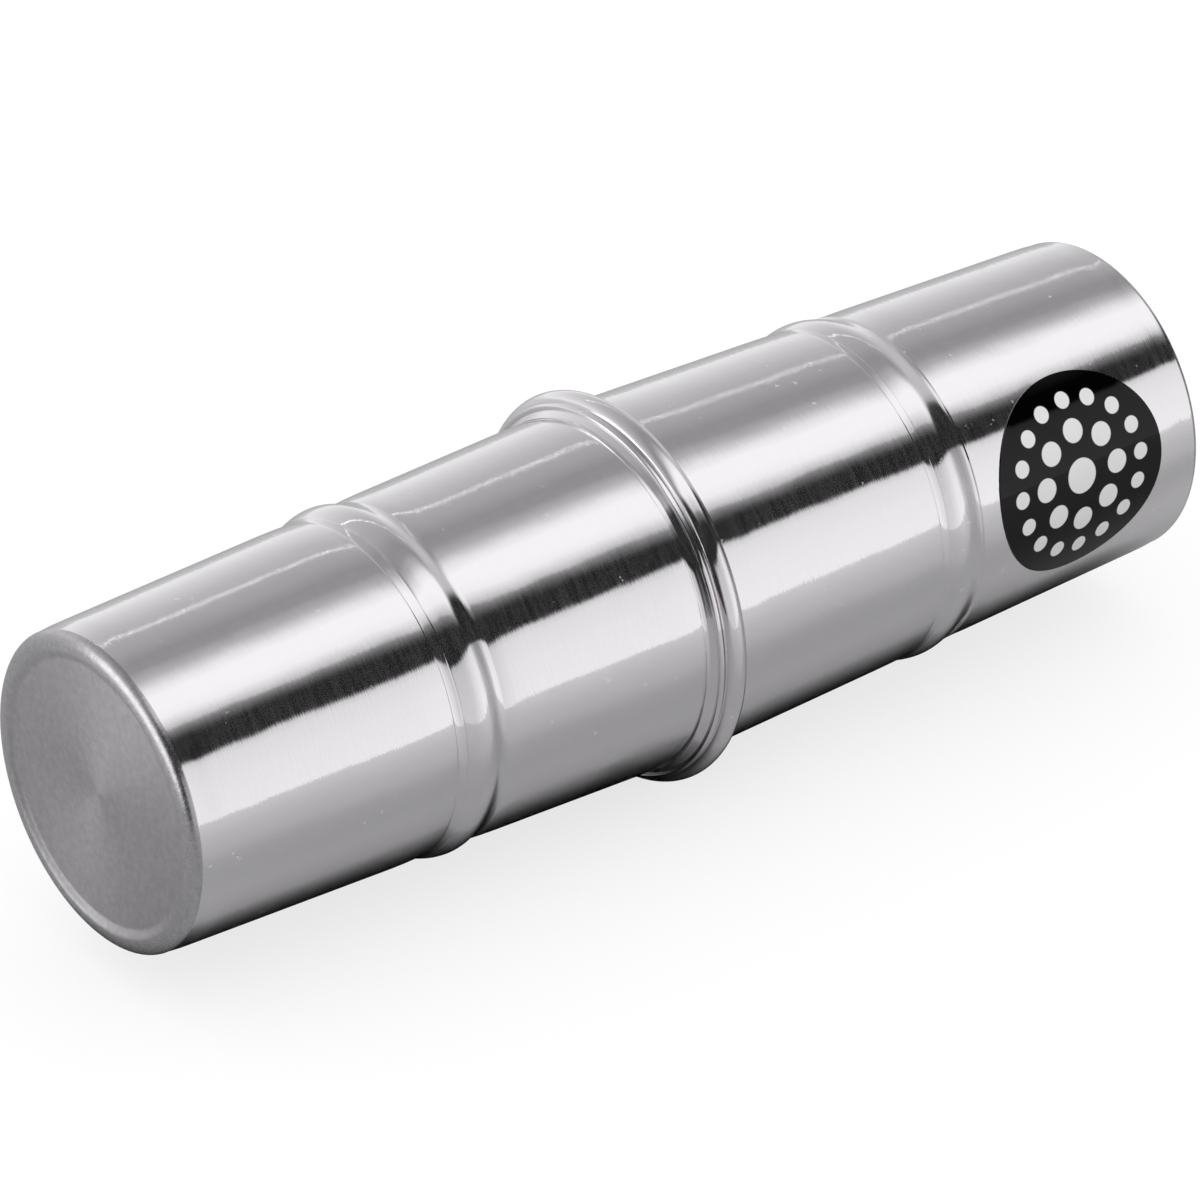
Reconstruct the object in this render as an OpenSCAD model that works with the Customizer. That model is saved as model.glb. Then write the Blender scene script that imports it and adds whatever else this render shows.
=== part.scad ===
// Ganza: a tube shaker of two drawn aluminium cups, pressed together mouth to mouth,
// with loose steel shot inside. The tube lies along X with its front end at -X,
// and the origin is on its axis, halfway along its length.

/* [Tube] */
// Length over the rims of both closed ends
shaker_l = 205; // [180:1:260]
// Outside diameter of the wall where it meets a closed end
end_d = 53.8; // [50:0.1:58]
// Outside diameter of the wall beside the seam
mouth_d = 59.6; // [56:0.1:66]
// Thickness of the aluminium sheet
sheet_t = 0.75; // [0.5:0.05:0.9]
// Straight wall from the middle of the tube to where each taper starts
mouth_land = 7.5; // [6.5:0.5:14]

/* [Closed ends] */
// Outside radius of the corner between the wall and a closed end
corner_r = 2.05; // [1.5:0.05:3.5]
// Width of the flat ring that the shaker stands on
ring_w = 0.6; // [0.3:0.1:1.5]
// Width of the soft slope from that ring to the sunk base
slope_w = 1.4; // [0.8:0.1:3]
// Depth of the sunk base under the ring
recess = 0.8; // [0.3:0.1:2]

/* [Beads] */
// Distance of the front bead's crest from the front end
front_bead_at = 55.3; // [40:0.1:75]
// Height of the front bead over the wall
front_bead_h = 1; // [0.3:0.1:1.6]
// Distance of the rear bead's crest from the rear end
rear_bead_at = 51.7; // [50:0.1:75]
// Height of the rear bead over the wall
rear_bead_h = 0.6; // [0.3:0.1:1.6]
// Length over which a bead rises on its front side
bead_rise = 5.6; // [3:0.1:8]
// Length over which a bead falls on its rear side
bead_fall = 3.8; // [2.5:0.1:5]

/* [Seam] */
// Place of the rolled rim's centre along the tube
rim_x = -0.2; // [-1:0.1:2]
// Diameter of the tube that the rim is rolled into
rim_d = 4.1; // [3.6:0.1:4.6]
// Gap left between the end of the roll and the wall
rim_gap = 0.25; // [0.1:0.05:0.4]
// Height of the folded lip over the wall
lip_h = 1.3; // [1:0.1:2]
// Radius of the flare from the wall up to the lip
flare_r = 2.4; // [1.8:0.1:3]
// Length of the neck inside the rolled mouth
neck_l = 6; // [3:0.5:9]
// Clearance of the neck and the lip in the rolled mouth
fit_gap = 0.05; // [0.02:0.01:0.1]

/* [Sticker] */
// Diameter of the round sticker
sticker_d = 35.2; // [20:0.1:37]
// Thickness of its vinyl
sticker_t = 0.15; // [0.1:0.01:0.3]
// Distance of its centre from the rear end
sticker_at = 26.6; // [23:0.1:29]
// Angle of its centre from the top of the tube to the near side
sticker_turn = 78; // [0:1:180]
// Thickness of the adhesive under it
glue_t = 0.03; // [0.01:0.01:0.1]

/* [Shot] */
// Diameter of a steel ball
shot_d = 4.5; // [3.5:0.1:5]
// Clearance between the balls, and between them and the cups
shot_gap = 0.2; // [0.1:0.05:0.3]
// Rows of balls that lie on the wall
bottom_rows = 10; // [4:1:11]
// Balls in each bottom row
bottom_balls = 8; // [3:1:12]
// Rows of balls that lie on the bottom rows
middle_rows = 6; // [2:1:7]
// Balls in each middle row
middle_balls = 7; // [2:1:11]
// Rows of balls that lie on the middle rows
top_rows = 1; // [1:1:2]
// Balls in each top row
top_balls = 6; // [1:1:10]

/* [Hidden] */
half_l = shaker_l / 2;
end_r = end_d / 2;
mouth_r = mouth_d / 2;
bore_r = mouth_r - sheet_t;
corner_x = half_l - corner_r;
ring_out_r = end_r - corner_r;
ring_in_r = ring_out_r - ring_w;
base_r = ring_in_r - slope_w;
base_x = half_l - recess;
front_bead_x = front_bead_at - half_l;
rear_bead_x = half_l - rear_bead_at;

// The bore of the rear cup runs on round the outside of its rolled rim
rim_r = rim_d / 2;
rim_centre_r = bore_r + rim_r;
rim_end_turn = asin((rim_gap + sheet_t) / rim_r - 1);
mouth_x = rim_x - rim_r;

// The lip is two layers of sheet folded face to face, with a round crest
lip_face_x = mouth_x - fit_gap;
lip_x = lip_face_x - sheet_t;
lip_centre_r = mouth_r + lip_h - sheet_t;
flare_drop = flare_r - lip_h + sheet_t;
flare_l = sqrt(pow(flare_r + sheet_t, 2) - pow(flare_drop, 2));
flare_x = lip_x - flare_l;
flare_turn = -asin(flare_drop / (flare_r + sheet_t));

neck_r = bore_r - fit_gap;
neck_x = mouth_x + neck_l;

sticker_x = half_l - sticker_at;

// The shot has run to the front end, and lies three layers deep along the lowest line of the wall
shot_pitch = shot_d + shot_gap;
shot_x = sheet_t + shot_gap + shot_d / 2 - base_x;
bottom_r = end_r - sheet_t - shot_gap - shot_d / 2;
shot_rows = concat(
    layer(bottom_rows, bottom_r, bottom_balls),
    layer(middle_rows, bottom_r - shot_pitch, middle_balls),
    layer(top_rows, bottom_r - 2 * shot_pitch, top_balls)
);

// Segments of a whole turn, of a small arc and of one side of a bead, and points of the sticker's edge
TURN_STEPS = 160;
ARC_STEPS = 8;
ROLL_STEPS = 36;
BEAD_STEPS = 12;
EDGE_POINTS = 96;

function row_name(i) = str("shot_row_", i);

// One layer of shot rows: the radius, the angle from the lowest line and the number of balls of each row
function layer(rows, radius, balls) =
    let (turn = 2 * asin(shot_pitch / 2 / radius))
    [for (i = [0:rows - 1]) [radius, (i - (rows - 1) / 2) * turn, balls]];

// Outside radius of the tapered wall at x, without its beads
function taper_r(x) =
    let (share = (abs(x) - mouth_land) / (corner_x - mouth_land))
    mouth_r + (end_r - mouth_r) * max(0, share);

// Points [x, radius] over a bead, from its front foot to its rear foot.
// They are on the outside of the sheet, or on its inside with its thickness as t.
function bead(crest_x, height, t) = [
    for (i = [-BEAD_STEPS:BEAD_STEPS])
        let (s = i / BEAD_STEPS, x = crest_x + s * (s < 0 ? bead_rise : bead_fall))
        [x, taper_r(x) - t + height * (1 + cos(180 * s)) / 2],
];

function arc(x, r, radius, from, to, steps) = [
    for (i = [0:steps])
        let (a = from + (to - from) * i / steps)
        [x + radius * cos(a), r + radius * sin(a)],
];

// Points of the front closed end, from the axis to the wall, on the side of the sheet that t says
function closed_end(t) = concat(
    [[t - base_x, 0]],
    [
        for (i = [0:ARC_STEPS])
            let (s = i / ARC_STEPS)
            [t - base_x - recess * (1 - cos(180 * s)) / 2, base_r + slope_w * s],
    ],
    arc(-corner_x, ring_out_r, corner_r - t, 180, 90, ARC_STEPS)
);

function front_wall(t) = concat(
    closed_end(t), bead(front_bead_x, front_bead_h, t), [[-mouth_land, mouth_r - t], [flare_x, mouth_r - t]]
);

function rear_wall(t) = concat(
    [[rim_x, mouth_r - t], [mouth_land, mouth_r - t]], bead(rear_bead_x, rear_bead_h, t),
    [for (p = reverse(closed_end(t))) [-p[0], p[1]]]
);

function reverse(list) = [for (i = [len(list) - 1:-1:0]) list[i]];

// Solid that an outline of [x, radius] points sweeps round the tube's axis
module turned(outline) {
    rotate([0, 90, 0])
        rotate_extrude($fn = TURN_STEPS)
            polygon([for (p = outline) [p[1], p[0]]]);
}

// Front half of the tube, with the flared and folded lip, and the neck that fits in the rear cup
module front_cup() {
    flare = arc(flare_x, mouth_r + flare_r, flare_r, -90, flare_turn, ARC_STEPS);
    crest = arc(lip_x, lip_centre_r, sheet_t, 180 + flare_turn, 0, ARC_STEPS);
    neck = [
        [lip_face_x, neck_r], [neck_x, neck_r], [neck_x, neck_r - sheet_t], [lip_x, neck_r - sheet_t],
    ];
    color("silver")
        turned(concat(front_wall(0), flare, crest, neck, reverse(front_wall(sheet_t))));
}

// Rear half of the tube, its mouth rolled outwards into a hollow round rim
module rear_cup() {
    roll_out = arc(rim_x, rim_centre_r, rim_r, -90, rim_end_turn - 360, ROLL_STEPS);
    roll_in = arc(rim_x, rim_centre_r, rim_r - sheet_t, rim_end_turn - 360, -90, ROLL_STEPS);
    color("lightgray")
        turned(concat(reverse(rear_wall(sheet_t)), roll_out, roll_in, rear_wall(0)));
}

// Round vinyl sticker, wrapped on the taper of the rear cup
module round_sticker() {
    sticker_r = sticker_d / 2;
    wrap_r = taper_r(sticker_x) + glue_t;
    ends = [sticker_x - sticker_r - 1, sticker_x + sticker_r + 1];
    inside = [for (x = ends) [x, taper_r(x) + glue_t]];
    outside = [for (x = reverse(ends)) [x, taper_r(x) + glue_t + sticker_t]];
    color("black")
        intersection() {
            turned(concat(inside, outside));
            rotate([sticker_turn, 0, 0])
                linear_extrude(mouth_d)
                    polygon([
                        for (i = [0:EDGE_POINTS - 1])
                            let (a = 360 * i / EDGE_POINTS)
                            [
                                sticker_x + sticker_r * cos(a),
                                wrap_r * sin(sticker_r * sin(a) / wrap_r * 180 / PI),
                            ],
                    ]);
        }
}

// One row of loose steel balls, lying along the tube
module shot_row(row) {
    color("gray")
        rotate([row[1], 0, 0])
            for (i = [0:row[2] - 1])
                translate([shot_x + i * shot_pitch, 0, -row[0]])
                    sphere(d = shot_d, $fn = 48);
}

front_cup();
rear_cup();
round_sticker();
for (i = [1:len(shot_rows)])
    shot_row(shot_rows[i - 1]);
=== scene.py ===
import math

import bpy
from mathutils import Matrix, Vector


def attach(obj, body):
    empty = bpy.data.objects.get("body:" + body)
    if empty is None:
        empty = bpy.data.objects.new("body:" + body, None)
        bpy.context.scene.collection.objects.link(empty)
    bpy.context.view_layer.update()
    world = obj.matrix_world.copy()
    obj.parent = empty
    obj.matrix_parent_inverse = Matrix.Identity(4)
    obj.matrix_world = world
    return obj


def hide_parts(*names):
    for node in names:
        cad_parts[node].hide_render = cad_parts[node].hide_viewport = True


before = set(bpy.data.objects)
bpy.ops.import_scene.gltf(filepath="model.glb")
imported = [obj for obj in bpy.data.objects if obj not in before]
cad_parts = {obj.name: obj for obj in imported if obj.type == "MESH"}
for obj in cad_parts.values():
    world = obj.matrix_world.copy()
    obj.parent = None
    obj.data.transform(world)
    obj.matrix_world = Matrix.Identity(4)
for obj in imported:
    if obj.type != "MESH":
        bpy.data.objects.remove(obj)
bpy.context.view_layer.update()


# Front cup
# The near half of the tube, one deep cup drawn from aluminium sheet and polished on a lathe.
# Its closed end is sunk inside a standing ring, its wall has one rolled bead, and its mouth is
# flared, folded back into a double lip, and drawn in to a neck that fits in the rear cup.

# Lengths are in metres, and angles in degrees unless they are turned into radians at once
HALF_LENGTH = 0.1025
END_RADIUS = 0.0269
MOUTH_RADIUS = 0.0298
SHEET = 0.00075
# Where the wall's taper starts and ends, from the middle of the tube
LAND = 0.0075
TAPER_END = 0.10045

# Closed end: the crest of its standing ring, the slope from there in to the sunk base, and the
# length and last angle of the soft corner from the crest out to the wall
CREST_RADIUS = 0.02395
SLOPE_WIDTH = 0.0019
RECESS = 0.0007
CORNER_DEPTH = 0.00165
CORNER_END = 95
BASE_RADIUS = CREST_RADIUS - SLOPE_WIDTH
CORNER_START = HALF_LENGTH - CORNER_DEPTH
# How far the wall draws in at a closed end, and over what length
END_TUCK = 0.00015
END_REACH = 0.0035

# Where the wall sinks a little beside a bead: the place, the depth, and the side that it fades out to
NECKS = ((-0.05306, 0.00018, -1), (-0.0433, 0.00017, 1), (0.04525, 0.00006, -1), (0.0543, 0.0002, 1))
NECK_REACH = 0.0055
# The bead: places along the tube in millimetres, and the slope that it gives the wall there.
# It has a fine line at its foot, a crease, a rise to the crest at -47.75, and a soft fall.
FRONT_BEAD = (
    (-53.06, 0), (-53.02, -0.45), (-52.86, -0.45), (-52.8, 0), (-52.6, 0.02), (-51.9, 0.18),
    (-51.36, 0.33), (-51.34, -0.7), (-51.2, -0.7), (-51.19, 0.85), (-51.06, 0.85), (-51.04, 0.48),
    (-50.3, 0.42), (-49.2, 0.25), (-48.3, 0.09), (-47.75, 0), (-47.3, -0.12), (-46.9, -0.23),
    (-46.2, -0.36), (-45.6, -0.42), (-45.2, -0.38), (-44.75, -0.28), (-44.1, -0.14), (-43.4, -0.01),
    (-43.3, 0),
)
MM_PER_M = 1000
BEAD_STEP = 0.2

# The rear cup's rolled rim, which the lip touches, and the clearance of the lip and the neck in it
RIM_X = -0.0002
RIM_RADIUS = 0.00205
FIT = 0.00005
MOUTH_X = RIM_X - RIM_RADIUS
# The lip's round crest: its radius, how far its centre stands over the wall, and the angle at
# which the flare meets it
LIP_RADIUS = 0.00055
LIP_STAND = 0.00142
LIP_FOOT = 230
# The flare's slope, the bend at its foot, and the shallow dip in the wall before it
FLARE_SLOPE = 47
FLARE_BEND = 0.0009
DIP_SLOPE = 4
DIP_DEPTH = 0.00004
NECK_LENGTH = 0.006
NECK_RADIUS = MOUTH_RADIUS - SHEET - FIT

# Steps round the axis, over each curve of a closed end on either side of the sheet, over the lip,
# the flare and the dip, and the longest step along a plain wall
TURN_STEPS = 256
OUTSIDE_STEPS = 16
INSIDE_STEPS = 6
LIP_STEPS = 24
FLARE_STEPS = 8
DIP_STEPS = 5
WALL_STEP = 0.0025
# A short straight stretch beside a bend, the distance under which points merge, and the angle
# over which an edge stays sharp
HOLD = 0.0002
WELD = 0.000002
SHARP = math.radians(35)


def arc(x, radius, bend, start, end, steps):
    turns = [math.radians(start + (end - start) * i / steps) for i in range(steps + 1)]
    return [(x + bend * math.cos(t), radius + bend * math.sin(t)) for t in turns]


def taper(x):
    share = (abs(x) - LAND) / (TAPER_END - LAND)
    return MOUTH_RADIUS + (END_RADIUS - MOUTH_RADIUS) * max(0.0, share)


def sink(x):
    drop = 0
    for place, depth, side in NECKS:
        away = (x - place) * side
        if 0 <= away < NECK_REACH:
            drop += depth * (1 - away / NECK_REACH) ** 2
    from_end = TAPER_END - abs(x)
    if from_end < END_REACH:
        drop += END_TUCK * (1 - from_end / END_REACH) ** 2
    return drop


def bead(slopes, inward=0.0):
    lift = -sink(slopes[0][0] / MM_PER_M)
    points = []
    for (here, slope), (there, next_slope) in zip(slopes, slopes[1:]):
        steps = max(1, round((there - here) / BEAD_STEP))
        for i in range(steps):
            x = (here + (there - here) * i / steps) / MM_PER_M
            points.append((x, taper(x) - inward + lift))
            middle_slope = slope + (next_slope - slope) * (i + 0.5) / steps
            lift += middle_slope * (there - here) / steps / MM_PER_M
    return points


def wall(start, end):
    steps = max(1, round(abs(end - start) / WALL_STEP))
    xs = [start + (end - start) * i / steps for i in range(steps + 1)]
    return [(x, taper(x) - sink(x)) for x in xs]


def closed_end(inward, steps):
    base_x = RECESS - HALF_LENGTH + inward
    points = [(base_x, 0), (base_x, BASE_RADIUS - HOLD)]
    for i in range(steps + 1):
        rise = RECESS * (1 - math.cos(math.pi * i / steps)) / 2
        points.append((base_x - rise, BASE_RADIUS + SLOPE_WIDTH * i / steps))
    stretch = (END_RADIUS - END_TUCK - inward - CREST_RADIUS) / (CORNER_DEPTH - inward)
    for x, height in arc(-CORNER_START, 0, CORNER_DEPTH - inward, 180, CORNER_END, steps)[1:]:
        points.append((x, CREST_RADIUS + height * stretch))
    return points


# One point, drawn out along the outline and spun round the tube's axis
def turned(name, outline):
    bpy.ops.object.select_all(action="DESELECT")
    x, radius = outline[0]
    bpy.ops.mesh.primitive_plane_add(size=SHEET, location=(x, 0, radius))
    piece = bpy.context.object
    piece.name = piece.data.name = name
    bpy.ops.object.transform_apply(location=True)
    bpy.ops.object.mode_set(mode="EDIT")
    bpy.ops.mesh.select_all(action="SELECT")
    bpy.ops.mesh.merge(type="CENTER")
    for here, there in zip(outline, outline[1:]):
        step = (there[0] - here[0], 0, there[1] - here[1])
        bpy.ops.mesh.extrude_vertices_move(TRANSFORM_OT_translate={"value": step})
    bpy.ops.mesh.select_all(action="SELECT")
    bpy.ops.mesh.spin(steps=TURN_STEPS, angle=math.tau, center=(0, 0, 0), axis=(1, 0, 0))
    bpy.ops.mesh.select_all(action="SELECT")
    bpy.ops.mesh.remove_doubles(threshold=WELD)
    bpy.ops.mesh.normals_make_consistent(inside=False)
    bpy.ops.object.mode_set(mode="OBJECT")
    bpy.ops.object.shade_smooth_by_angle(angle=SHARP)
    return piece


rim_centre = MOUTH_RADIUS - SHEET + RIM_RADIUS
lip_centre = MOUTH_RADIUS + LIP_STAND
touch = RIM_RADIUS + FIT + LIP_RADIUS
lip_x = RIM_X - math.sqrt(touch**2 - (rim_centre - lip_centre) ** 2)
lip = arc(lip_x, lip_centre, LIP_RADIUS, LIP_FOOT, 0, LIP_STEPS)

dip_radius = MOUTH_RADIUS - DIP_DEPTH
flare_angle = math.radians(FLARE_SLOPE)
flare_start = lip[0][0] - (lip[0][1] - dip_radius) / math.tan(flare_angle)
bend_x = flare_start - FLARE_BEND * math.tan(flare_angle / 2)
flare = arc(bend_x, dip_radius + FLARE_BEND, FLARE_BEND, -90 - DIP_SLOPE, FLARE_SLOPE - 90, FLARE_STEPS)

dip_drop = MOUTH_RADIUS - flare[0][1]
dip_length = 2 * dip_drop / math.tan(math.radians(DIP_SLOPE))
dip = [
    (flare[0][0] - dip_length * (1 - i / DIP_STEPS), MOUTH_RADIUS - dip_drop * (i / DIP_STEPS) ** 2)
    for i in range(DIP_STEPS)
]
front_outside = [
    *closed_end(0, OUTSIDE_STEPS),
    *wall(-CORNER_START + HOLD, FRONT_BEAD[0][0] / MM_PER_M - HOLD),
    *bead(FRONT_BEAD),
    *wall(FRONT_BEAD[-1][0] / MM_PER_M, -LAND - HOLD),
    (-LAND + HOLD, MOUTH_RADIUS),
    *dip,
    *flare,
    *lip,
]
front_neck = [
    (MOUTH_X - FIT, NECK_RADIUS),
    (MOUTH_X + NECK_LENGTH, NECK_RADIUS),
    (MOUTH_X + NECK_LENGTH, NECK_RADIUS - SHEET),
    (lip_x, NECK_RADIUS - SHEET),
]
front_inside = [
    *closed_end(SHEET, INSIDE_STEPS),
    *bead(FRONT_BEAD, SHEET),
    (-LAND, MOUTH_RADIUS - SHEET),
    (bend_x, MOUTH_RADIUS - SHEET),
]
front_cup = turned("front_cup_shell", front_outside + front_neck + front_inside[::-1])

# Patterns on the metal: how fine each is along the tube and around it, in waves to a metre, and its
# layers. Lines are left by the turning, waves by the drawing, and spots are where nicks lie.
TURNING_LINES = (1600, 200, 3)
DRAWING_WAVES = (60, 90, 2)
NICK_SPOTS = (500, 500, 2)
LINE_DEPTH = 0.000018
WAVE_DEPTH = 0.00009
FEED_PITCH = 0.0005
FEED_DEPTH = 0.0000026
# A wave texture repeats in this length at a scale of 1
WAVE_LENGTH = math.tau / 20
# Pale scratches and nicks: the lines' share, and the nicks' gain, offset and limit
LINE_PALENESS = 0.025
NICK_GAIN = 9.0
NICK_OFFSET = -6.45
NICK_LIMIT = 0.3
# Most of a noise texture lies between these
NOISE_LOW = 0.3
NOISE_HIGH = 0.7
# Sockets of a colour mix node: its share, both colours, and the mixed colour
MIX_SHARE = 0
MIX_FIRST = 6
MIX_SECOND = 7
MIX_COLOUR = 2


def set_socket(tree, socket, value):
    if isinstance(value, (int, float, tuple)):
        socket.default_value = value
    else:
        tree.links.new(value, socket)


def calculate(tree, operation, first, second=0.0, third=0.0):
    node = tree.nodes.new("ShaderNodeMath")
    node.operation = operation
    for socket, value in zip(node.inputs, (first, second, third)):
        set_socket(tree, socket, value)
    return node.outputs[0]


def vector_math(tree, operation, vector, other=(0, 0, 0)):
    node = tree.nodes.new("ShaderNodeVectorMath")
    node.operation = operation
    node.inputs[1].default_value = other
    tree.links.new(vector, node.inputs[0])
    return node


def mixed(tree, share, first, second):
    node = tree.nodes.new("ShaderNodeMix")
    node.data_type = "RGBA"
    set_socket(tree, node.inputs[MIX_SHARE], share)
    set_socket(tree, node.inputs[MIX_FIRST], first)
    set_socket(tree, node.inputs[MIX_SECOND], second)
    return node.outputs[MIX_COLOUR]


def object_place(tree):
    return tree.nodes.new("ShaderNodeTexCoord").outputs["Object"]


def streaks(tree, place, along, around, layers):
    stretched = vector_math(tree, "MULTIPLY", place, (along, around, around))
    noise = tree.nodes.new("ShaderNodeTexNoise")
    noise.inputs["Scale"].default_value = 1.0
    noise.inputs["Detail"].default_value = layers
    noise.inputs["Roughness"].default_value = 0.55
    tree.links.new(stretched.outputs["Vector"], noise.inputs["Vector"])
    return noise.outputs[0]


def feed_marks(tree, place):
    wave = tree.nodes.new("ShaderNodeTexWave")
    wave.wave_type = "BANDS"
    wave.bands_direction = "X"
    wave.wave_profile = "SIN"
    wave.inputs["Scale"].default_value = WAVE_LENGTH / FEED_PITCH
    wave.inputs["Distortion"].default_value = 1.2
    wave.inputs["Detail"].default_value = 2.0
    wave.inputs["Detail Scale"].default_value = 0.35
    tree.links.new(place, wave.inputs["Vector"])
    return wave.outputs[1]


def bump(tree, height, distance, before=None):
    node = tree.nodes.new("ShaderNodeBump")
    node.inputs["Distance"].default_value = distance
    tree.links.new(height, node.inputs["Height"])
    if before:
        tree.links.new(before, node.inputs["Normal"])
    return node.outputs[0]


def spread(tree, noise, low, high):
    node = tree.nodes.new("ShaderNodeMapRange")
    node.inputs["From Min"].default_value = NOISE_LOW
    node.inputs["From Max"].default_value = NOISE_HIGH
    node.inputs["To Min"].default_value = low
    node.inputs["To Max"].default_value = high
    tree.links.new(noise, node.inputs["Value"])
    return node.outputs[0]


def new_material(name):
    material = bpy.data.materials.new(name)
    material.use_nodes = True
    tree = material.node_tree
    return material, tree, tree.nodes["Principled BSDF"]


def turned_metal(name):
    material, tree, shader = new_material(name)
    shader.inputs["Metallic"].default_value = 1.0
    shader.inputs["Anisotropic Rotation"].default_value = 0.25
    tangent = tree.nodes.new("ShaderNodeTangent")
    tangent.direction_type = "RADIAL"
    tangent.axis = "X"
    tree.links.new(tangent.outputs[0], shader.inputs["Tangent"])
    return material, tree, shader


def paleness(tree, lines, spots):
    nicks = calculate(tree, "MULTIPLY_ADD", spots, NICK_GAIN, NICK_OFFSET)
    nicks = calculate(tree, "MAXIMUM", nicks, 0.0)
    nicks = calculate(tree, "MINIMUM", nicks, NICK_LIMIT)
    return calculate(tree, "ADD", spread(tree, lines, 0.0, LINE_PALENESS), nicks)


def polished_aluminium():
    material, tree, shader = turned_metal("polished_aluminium")
    shader.inputs["Base Color"].default_value = (0.915, 0.893, 0.918, 1)
    shader.inputs["Anisotropic"].default_value = 0.8
    place = object_place(tree)
    lines = streaks(tree, place, *TURNING_LINES)
    waves = streaks(tree, place, *DRAWING_WAVES)
    pale = paleness(tree, lines, streaks(tree, place, *NICK_SPOTS))
    tree.links.new(calculate(tree, "SUBTRACT", 1.0, pale), shader.inputs["Metallic"])
    tree.links.new(spread(tree, lines, 0.06, 0.12), shader.inputs["Roughness"])
    drawn = bump(tree, waves, WAVE_DEPTH)
    fed = bump(tree, feed_marks(tree, place), FEED_DEPTH, drawn)
    tree.links.new(bump(tree, lines, LINE_DEPTH, fed), shader.inputs["Normal"])
    return material


# Satin finish of a closed end: its grain, patches and specks, and its darker and paler grey. Towards
# the standing ring it is rubbed smoother, down to a share of its roughness.
SATIN_GRAIN = (1500, 1500, 4)
SATIN_PATCHES = (900, 900, 3)
SATIN_SPECKS = (3200, 3200, 2)
GRAIN_DEPTH = 0.00002
SPECK_DEPTH = 0.000006
SATIN_DARK = (0.53, 0.515, 0.54, 1)
SATIN_PALE = (0.63, 0.615, 0.64, 1)
RUBBED_FROM = 0.02295
RUBBED_TO = 0.02485
RUBBED_SHARE = 0.6
ACROSS_AXIS = (0, 1, 1)


def rubbed_edge(tree, place):
    from_axis = vector_math(tree, "MULTIPLY", place, ACROSS_AXIS)
    radius = vector_math(tree, "LENGTH", from_axis.outputs["Vector"])
    edge = tree.nodes.new("ShaderNodeMapRange")
    edge.inputs["From Min"].default_value = RUBBED_FROM
    edge.inputs["From Max"].default_value = RUBBED_TO
    edge.inputs["To Min"].default_value = 1.0
    edge.inputs["To Max"].default_value = RUBBED_SHARE
    tree.links.new(radius.outputs["Value"], edge.inputs["Value"])
    return edge.outputs[0]


def satin_aluminium():
    material, tree, shader = turned_metal("satin_end_aluminium")
    shader.inputs["Anisotropic"].default_value = 0.55
    place = object_place(tree)
    grain = streaks(tree, place, *SATIN_GRAIN)
    patches = spread(tree, streaks(tree, place, *SATIN_PATCHES), 0.0, 1.0)
    tree.links.new(mixed(tree, patches, SATIN_DARK, SATIN_PALE), shader.inputs["Base Color"])
    rough = calculate(tree, "MULTIPLY", spread(tree, grain, 0.38, 0.5), rubbed_edge(tree, place))
    tree.links.new(rough, shader.inputs["Roughness"])
    grained = bump(tree, grain, GRAIN_DEPTH)
    specks = streaks(tree, place, *SATIN_SPECKS)
    tree.links.new(bump(tree, specks, SPECK_DEPTH, grained), shader.inputs["Normal"])
    return material


polished = polished_aluminium()
satin = satin_aluminium()


def finish_cup(cup):
    cup.data.materials.append(polished)
    cup.data.materials.append(satin)
    for face in cup.data.polygons:
        face.material_index = 1 if abs(face.center.x) > CORNER_START else 0


finish_cup(front_cup)
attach(front_cup, "shell")
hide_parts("front_cup")


# Rear cup
# The far half of the tube, drawn and polished like the front cup, with a lower bead.
# Its mouth is rolled outwards into a hollow round rim, and it is pressed over the front cup's neck.

# The bead, in the same terms as the front cup's: it is lower, and its crest is at 49.8
REAR_BEAD = (
    (45.25, 0), (45.3, -0.2), (45.45, -0.2), (45.5, 0), (45.8, 0.05), (46.7, 0.25), (46.72, -0.35),
    (46.82, -0.35), (46.84, 0.5), (46.95, 0.5), (47, 0.34), (47.8, 0.3), (48.8, 0.18), (49.6, 0.03),
    (49.8, 0), (50.15, -0.08), (50.8, -0.19), (51.5, -0.26), (52.3, -0.29), (53, -0.26), (53.5, -0.18),
    (53.9, -0.09), (54.3, 0),
)
# The gap between the end of the roll and the wall
ROLL_GAP = 0.00025
ROLL_OUTSIDE_STEPS = 60
ROLL_INSIDE_STEPS = 30
roll_end = math.degrees(math.asin((ROLL_GAP + SHEET) / RIM_RADIUS - 1)) - 360


def mirrored(outline):
    return [(-x, radius) for x, radius in reversed(outline)]


rear_inside = [
    (RIM_X + HOLD, MOUTH_RADIUS - SHEET),
    (LAND, MOUTH_RADIUS - SHEET),
    *bead(REAR_BEAD, SHEET),
    *mirrored(closed_end(SHEET, INSIDE_STEPS)),
]
rear_outside = [
    (RIM_X + HOLD, MOUTH_RADIUS),
    (LAND - HOLD, MOUTH_RADIUS),
    *wall(LAND + HOLD, REAR_BEAD[0][0] / MM_PER_M - HOLD),
    *bead(REAR_BEAD),
    *wall(REAR_BEAD[-1][0] / MM_PER_M, CORNER_START - HOLD),
    *mirrored(closed_end(0, OUTSIDE_STEPS)),
]
rolled_rim = [
    *arc(RIM_X, rim_centre, RIM_RADIUS, -90, roll_end, ROLL_OUTSIDE_STEPS),
    *arc(RIM_X, rim_centre, RIM_RADIUS - SHEET, roll_end, -90, ROLL_INSIDE_STEPS),
]
rear_cup = turned("rear_cup_shell", rear_inside[::-1] + rolled_rim + rear_outside)
finish_cup(rear_cup)
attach(rear_cup, "shell")
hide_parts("rear_cup")


# Round sticker
# A glossy black vinyl disc with a white print, wrapped on the wall of the rear cup.
# It is die cut, and the adhesive on its back holds it.

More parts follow.
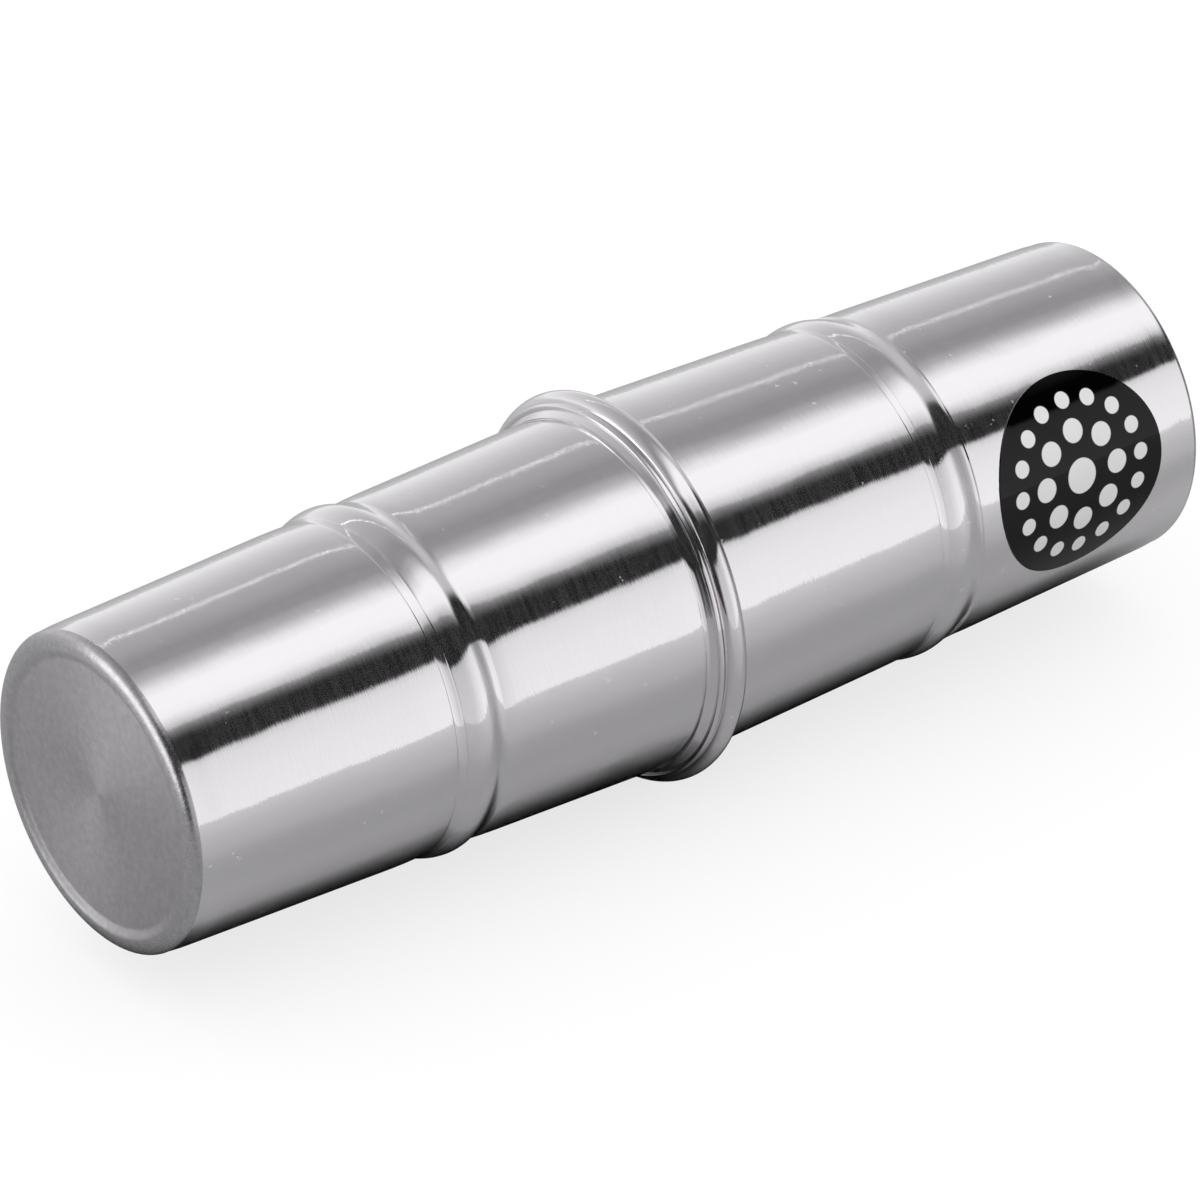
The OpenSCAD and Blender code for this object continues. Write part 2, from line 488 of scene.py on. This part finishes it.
STICKER_RADIUS = 0.0176
STICKER_X = 0.0759
STICKER_TURN = math.radians(78)
STICKER_POINTS = 96
STICKER_RINGS = 16
PRINT_MAP = "print"
VINYL = 0.00015
GLUE = 0.00003

bpy.ops.object.select_all(action="DESELECT")
bpy.ops.mesh.primitive_circle_add(vertices=STICKER_POINTS, radius=STICKER_RADIUS, fill_type="NGON")
sticker = bpy.context.object
sticker.name = sticker.data.name = "sticker_vinyl_disc"
bpy.ops.object.mode_set(mode="EDIT")
for ring in range(STICKER_RINGS - 1):
    bpy.ops.mesh.inset(thickness=STICKER_RADIUS / STICKER_RINGS, depth=0)
bpy.ops.mesh.poke()
bpy.ops.object.mode_set(mode="OBJECT")
print_map = sticker.data.uv_layers.new(name=PRINT_MAP)
for loop in sticker.data.loops:
    flat = sticker.data.vertices[loop.vertex_index].co
    print_map.data[loop.index].uv = (0.5 + flat.x / STICKER_RADIUS / 2, 0.5 + flat.y / STICKER_RADIUS / 2)
wrap = taper(STICKER_X) + GLUE
for corner in sticker.data.vertices:
    x = STICKER_X + corner.co.x
    turn = STICKER_TURN - corner.co.y / wrap
    reach = taper(x) + GLUE
    corner.co = (x, -reach * math.sin(turn), reach * math.cos(turn))
bpy.ops.object.modifier_add(type="SOLIDIFY")
solid = sticker.modifiers[-1]
solid.thickness = VINYL
solid.offset = 1
bpy.ops.object.modifier_apply(modifier=solid.name)
bpy.ops.object.shade_smooth_by_angle(angle=SHARP)

# The print, in shares of the sticker's radius: rings of dots, each with its number of dots, its own
# radius and a dot's, then the dot in the middle, and the width of an edge
DOT_RINGS = ((16, 0.74, 0.082), (8, 0.44, 0.115))
MIDDLE_DOT = 0.17
PRINT_EDGE = 0.004
PRINT_DEPTH = 0.00001
VINYL_BLACK = (0.0004, 0.0004, 0.0005, 1)
PRINT_WHITE = (0.82, 0.82, 0.82, 1)
ORANGE_PEEL = (700, 700, 2)
PEEL_DEPTH = 0.000002


# How far inside a dot of the ring a place lies, and less than nothing outside
def inside_dots(tree, radius, turn, count, ring, dot):
    share = calculate(tree, "MULTIPLY_ADD", turn, count / math.tau, 0.5)
    share = calculate(tree, "SUBTRACT", calculate(tree, "FRACT", share), 0.5)
    off = calculate(tree, "MULTIPLY", share, math.tau / count)
    ahead = calculate(tree, "MULTIPLY", radius, calculate(tree, "COSINE", off))
    ahead = calculate(tree, "SUBTRACT", ahead, ring)
    aside = calculate(tree, "MULTIPLY", radius, calculate(tree, "SINE", off))
    squares = calculate(tree, "MULTIPLY", ahead, ahead)
    squares = calculate(tree, "MULTIPLY_ADD", aside, aside, squares)
    return calculate(tree, "SUBTRACT", dot, calculate(tree, "SQRT", squares))


def printed(tree):
    uv = tree.nodes.new("ShaderNodeUVMap")
    uv.uv_map = PRINT_MAP
    centred = vector_math(tree, "SUBTRACT", uv.outputs[0], (0.5, 0.5, 0)).outputs["Vector"]
    length = vector_math(tree, "LENGTH", centred).outputs["Value"]
    split = tree.nodes.new("ShaderNodeSeparateXYZ")
    tree.links.new(centred, split.inputs[0])
    radius = calculate(tree, "MULTIPLY", length, 2.0)
    turn = calculate(tree, "ARCTAN2", split.outputs["Y"], split.outputs["X"])
    inside = calculate(tree, "SUBTRACT", MIDDLE_DOT, radius)
    for count, ring, dot in DOT_RINGS:
        inside = calculate(tree, "MAXIMUM", inside, inside_dots(tree, radius, turn, count, ring, dot))
    ink = calculate(tree, "MULTIPLY_ADD", inside, 0.5 / PRINT_EDGE, 0.5)
    return calculate(tree, "MINIMUM", calculate(tree, "MAXIMUM", ink, 0.0), 1.0)


def gloss_vinyl():
    material, tree, shader = new_material("gloss_black_vinyl")
    shader.inputs["IOR"].default_value = 1.44
    shader.inputs["Specular IOR Level"].default_value = 0.36
    ink = printed(tree)
    tree.links.new(mixed(tree, ink, VINYL_BLACK, PRINT_WHITE), shader.inputs["Base Color"])
    peel = streaks(tree, object_place(tree), *ORANGE_PEEL)
    tree.links.new(spread(tree, peel, 0.03, 0.06), shader.inputs["Roughness"])
    pressed = bump(tree, peel, PEEL_DEPTH)
    tree.links.new(bump(tree, ink, PRINT_DEPTH, pressed), shader.inputs["Normal"])
    return material


sticker.data.materials.append(gloss_vinyl())
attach(sticker, "shell")
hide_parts("round_sticker")


# Shot
# Small steel balls, loose inside the tube: 17 rows of six to eight, three layers deep, that have
# run to the front end. They are plain ground balls, and only the cups' walls hold them in.

GRINDING_MARKS = (900, 900, 4)
GRINDING_DEPTH = 0.000004


def ball_steel():
    material, tree, shader = new_material("ball_steel")
    shader.inputs["Metallic"].default_value = 1.0
    shader.inputs["Base Color"].default_value = (0.52, 0.52, 0.53, 1)
    marks = streaks(tree, object_place(tree), *GRINDING_MARKS)
    tree.links.new(spread(tree, marks, 0.18, 0.34), shader.inputs["Roughness"])
    tree.links.new(bump(tree, marks, GRINDING_DEPTH), shader.inputs["Normal"])
    return material


steel = ball_steel()
for name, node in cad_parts.items():
    if name.startswith("shot_row_"):
        node.data.materials.clear()
        node.data.materials.append(steel)


# Floor
# A plain pale table under the tube, which touches it at the rolled rim. It ends a little way in
# front of the tube, beyond its front end and behind it, all out of the camera's view.

FLOOR_Z = -(rim_centre + RIM_RADIUS)
FLOOR_NEAR = -0.33
FLOOR_FAR = 0.75
FLOOR_LEFT = -0.26
FLOOR_RIGHT = 1.5

floor_middle = ((FLOOR_LEFT + FLOOR_RIGHT) / 2, (FLOOR_NEAR + FLOOR_FAR) / 2, FLOOR_Z)
bpy.ops.object.select_all(action="DESELECT")
bpy.ops.mesh.primitive_plane_add(size=1, location=floor_middle)
floor = bpy.context.object
floor.name = "table"
floor.scale = (FLOOR_RIGHT - FLOOR_LEFT, FLOOR_FAR - FLOOR_NEAR, 1)
bpy.ops.object.transform_apply(location=True, scale=True)

# The mirrored table's grey, and how near the tube and how strongly a painted shade darkens it where they
# touch
TABLE_GREY = 0.42
PAINTED_SHADE_REACH = 0.0138
PAINTED_SHADE_POWER = 2.6
# What the camera sees: a grey that keeps the tube's shadow, and a glow that lifts it to white
SHADOWED_GREY = (0.3, 0.3, 0.3, 1)
GLOW = 0.74


# The metal mirrors a lacquered grey table with a painted contact shade near the tube, and the camera sees
# a matt one as white as the background
def table_white():
    material, tree, lacquer = new_material("table_white")
    shade = tree.nodes.new("ShaderNodeAmbientOcclusion")
    shade.inputs["Distance"].default_value = PAINTED_SHADE_REACH
    # Painted shade: the mirrored table's colour is darkened by ambient occlusion near the tube
    dark = calculate(tree, "POWER", shade.outputs["AO"], PAINTED_SHADE_POWER)
    tree.links.new(calculate(tree, "MULTIPLY", dark, TABLE_GREY), lacquer.inputs["Base Color"])
    lacquer.inputs["Roughness"].default_value = 0.18
    lacquer.inputs["IOR"].default_value = 1.6
    shadowed = tree.nodes.new("ShaderNodeBsdfDiffuse")
    shadowed.inputs["Color"].default_value = SHADOWED_GREY
    glow = tree.nodes.new("ShaderNodeEmission")
    glow.inputs["Strength"].default_value = GLOW
    seen = tree.nodes.new("ShaderNodeAddShader")
    tree.links.new(shadowed.outputs[0], seen.inputs[0])
    tree.links.new(glow.outputs[0], seen.inputs[1])
    path = tree.nodes.new("ShaderNodeLightPath")
    table = tree.nodes.new("ShaderNodeMixShader")
    tree.links.new(path.outputs["Is Camera Ray"], table.inputs[0])
    tree.links.new(lacquer.outputs[0], table.inputs[1])
    tree.links.new(seen.outputs[0], table.inputs[2])
    tree.links.new(table.outputs[0], tree.nodes["Material Output"].inputs["Surface"])
    return material


floor.data.materials.append(table_white())


# Studio
# What the polished metal mirrors: a soft box overhead, a white card in front, a dark gap between
# them, and smaller things round them. A direction is told by its angle in degrees from straight up
# towards the near side, and by its share along the tube, from -1 in front to 1 behind.

# Light over the tube by the angle, from the grey far side to the soft box. The angles hold at one
# share along the tube, and lean by so many degrees for each unit from there.
OVERHEAD = (
    (-180, 0.4), (-100, 0.6), (-92, 0.88), (-76, 0.68), (-60, 0.52), (-48, 0.44), (-36, 0.38),
    (-24, 0.29), (-16, 0.3), (-8, 0.47), (0, 0.85), (6, 1.0),
)
BOX_LEAN = -11
BOX_LEAN_FROM = 0.53
# The soft box's lower edge: its angle, its light by the degrees from there, and the shares past which
# the edge rises towards the tube's rear and front, with the degrees for a square unit
GAP_TOP = 31
BOX_EDGE = ((-14, 1.0), (-8, 0.95), (-4, 0.78), (0, 0.56), (2, 0.25), (5, 0.12), (8, 0.04), (12, 0.0))
BOX_REAR = 0.6
BOX_REAR_RISE = 350
BOX_FRONT = -0.4
BOX_FRONT_RISE = 110
# A grey wall past the soft box's rear end: the shares between which it comes in, and its light
REAR_WALL = (0.7, 0.88)
REAR_WALL_LEVEL = 0.55
# The card: its upper edge's angle and lean, its light by the degrees from there, and along the tube
GAP_BOTTOM = 57
CARD_LEAN = -8
CARD_EDGE = ((-1.2, 0.0), (0.5, 0.06), (3, 0.72), (7, 0.83), (22, 0.9), (45, 0.95), (100, 0.6))
CARD_ALONG = (
    (-0.86, 0.02), (-0.68, 0.68), (0, 0.7), (0.3, 0.87), (0.5, 0.98), (0.76, 0.98), (0.86, 0.6),
    (0.95, 0.38), (1, 0.2),
)
# A bright card low on the far side, beyond the front end: where it comes in, and its light
SIDE_CARD_ANGLES = (-62, -74)
SIDE_CARD_SHARES = (-0.62, -0.75)
SIDE_CARD_LEVEL = 1.8
# Towards the end of the shares behind, the light falls off by this loss, and it is never quite dark
REAR_DARK = (0.955, 0.985)
REAR_DARK_LOSS = 0.75
ROOM_LEVEL = 0.02
# A thin tube lamp on the far side: its angle, its lean, half its width, its light and its reach
LAMP_ANGLE = -57.3
LAMP_LEAN = 19.8
LAMP_HALF = 0.2
LAMP_LEVEL = 2.6
LAMP_FROM = -0.1
LAMP_TO = 0.75


def levels(tree, value, stops):
    start = stops[0][0]
    length = stops[-1][0] - start
    ramp = tree.nodes.new("ShaderNodeValToRGB")
    marks = ramp.color_ramp.elements
    marks.remove(marks[-1])
    for i, (place, level) in enumerate(stops):
        mark = marks[0] if i == 0 else marks.new(1.0)
        mark.position = (place - start) / length
        mark.color = (level, level, level, 1)
    share = calculate(tree, "MULTIPLY_ADD", value, 1 / length, -start / length)
    tree.links.new(share, ramp.inputs[0])
    return ramp.outputs[0]


def fade(tree, value, start, end):
    node = tree.nodes.new("ShaderNodeMapRange")
    node.interpolation_type = "SMOOTHSTEP"
    node.inputs["From Min"].default_value = start
    node.inputs["From Max"].default_value = end
    tree.links.new(value, node.inputs["Value"])
    return node.outputs[0]


def square_past(tree, value, place, side):
    away = calculate(tree, "MULTIPLY", calculate(tree, "SUBTRACT", value, place), side)
    away = calculate(tree, "MAXIMUM", away, 0.0)
    return calculate(tree, "MULTIPLY", away, away)


def soft_box(tree, share, angle):
    lean = calculate(tree, "MULTIPLY_ADD", share, -BOX_LEAN, BOX_LEAN * BOX_LEAN_FROM)
    light = levels(tree, calculate(tree, "ADD", angle, lean), OVERHEAD)
    to_wall = calculate(tree, "SUBTRACT", REAR_WALL_LEVEL, light)
    to_wall = calculate(tree, "MULTIPLY", to_wall, fade(tree, share, *REAR_WALL))
    light = calculate(tree, "ADD", light, to_wall)
    rise = calculate(tree, "MULTIPLY", square_past(tree, share, BOX_REAR, 1), BOX_REAR_RISE)
    rise = calculate(tree, "MULTIPLY_ADD", square_past(tree, share, BOX_FRONT, -1), BOX_FRONT_RISE, rise)
    past = calculate(tree, "ADD", calculate(tree, "SUBTRACT", angle, GAP_TOP), rise)
    return calculate(tree, "MULTIPLY", light, levels(tree, past, BOX_EDGE))


def front_card(tree, share, angle):
    edge = calculate(tree, "MULTIPLY_ADD", share, CARD_LEAN, GAP_BOTTOM)
    past = calculate(tree, "SUBTRACT", angle, edge)
    return calculate(tree, "MULTIPLY", levels(tree, past, CARD_EDGE), levels(tree, share, CARD_ALONG))


def side_card(tree, share, angle):
    light = calculate(tree, "MULTIPLY", fade(tree, share, *SIDE_CARD_SHARES), SIDE_CARD_LEVEL)
    return calculate(tree, "MULTIPLY", light, fade(tree, angle, *SIDE_CARD_ANGLES))


def tube_lamp(tree, share, angle):
    middle = calculate(tree, "MULTIPLY_ADD", share, LAMP_LEAN, LAMP_ANGLE)
    off = calculate(tree, "ABSOLUTE", calculate(tree, "SUBTRACT", angle, middle))
    across = calculate(tree, "LESS_THAN", off, LAMP_HALF)
    off = calculate(tree, "ABSOLUTE", calculate(tree, "SUBTRACT", share, (LAMP_FROM + LAMP_TO) / 2))
    along = calculate(tree, "LESS_THAN", off, (LAMP_TO - LAMP_FROM) / 2)
    return calculate(tree, "MULTIPLY", calculate(tree, "MULTIPLY", across, along), LAMP_LEVEL)


def mirrored_light(tree, share, angle):
    light = calculate(tree, "ADD", soft_box(tree, share, angle), front_card(tree, share, angle))
    light = calculate(tree, "MAXIMUM", light, side_card(tree, share, angle))
    left = calculate(tree, "MULTIPLY_ADD", fade(tree, share, *REAR_DARK), -REAR_DARK_LOSS, 1.0)
    light = calculate(tree, "MULTIPLY", light, left)
    light = calculate(tree, "MAXIMUM", light, ROOM_LEVEL)
    return calculate(tree, "ADD", light, tube_lamp(tree, share, angle))


# Reflections show these things, and all other rays see a plain white room
def studio_world():
    world = bpy.data.worlds.new("studio")
    world.use_nodes = True
    tree = world.node_tree
    split = tree.nodes.new("ShaderNodeSeparateXYZ")
    tree.links.new(tree.nodes.new("ShaderNodeTexCoord").outputs["Generated"], split.inputs[0])
    nearer = calculate(tree, "MULTIPLY", split.outputs["Y"], -1.0)
    angle = calculate(tree, "ARCTAN2", nearer, split.outputs["Z"])
    angle = calculate(tree, "MULTIPLY", angle, 360 / math.tau)
    light = mirrored_light(tree, split.outputs["X"], angle)
    reflected = tree.nodes.new("ShaderNodeLightPath").outputs["Is Glossy Ray"]
    tree.links.new(mixed(tree, reflected, (1, 1, 1, 1), light), tree.nodes["Background"].inputs["Color"])
    return world


studio = studio_world()
bpy.context.scene.world = studio
studio.cycles.sampling_method = "NONE"


# Camera
# A long lens, 1.4 m from the tube, that looks down on the front end and the near side.
# It is turned so that the tube's rear end points up and to the right.

# The direction from the tube to the camera in radians, and its distance
AZIMUTH = -0.666
ELEVATION = 0.5392
DISTANCE = 1.401
# How far the camera stands to the right and up from that line through the tube's middle
ASIDE = (-0.002185, -0.00223)
SENSOR_WIDTH = 36
LENS = 261

back = Vector((
    math.sin(AZIMUTH) * math.cos(ELEVATION),
    -math.cos(AZIMUTH) * math.cos(ELEVATION),
    math.sin(ELEVATION),
))
right = Vector((math.cos(AZIMUTH), math.sin(AZIMUTH), 0))
up = back.cross(right)
camera_place = back * DISTANCE + right * ASIDE[0] + up * ASIDE[1]
camera_turn = Matrix((right, up, back)).transposed().to_4x4()
bpy.ops.object.camera_add()
camera = bpy.context.object
camera.data.sensor_width = SENSOR_WIDTH
camera.data.lens = LENS
camera.matrix_world = Matrix.Translation(camera_place) @ camera_turn
bpy.context.scene.camera = camera
bpy.context.scene.view_settings.view_transform = "Standard"
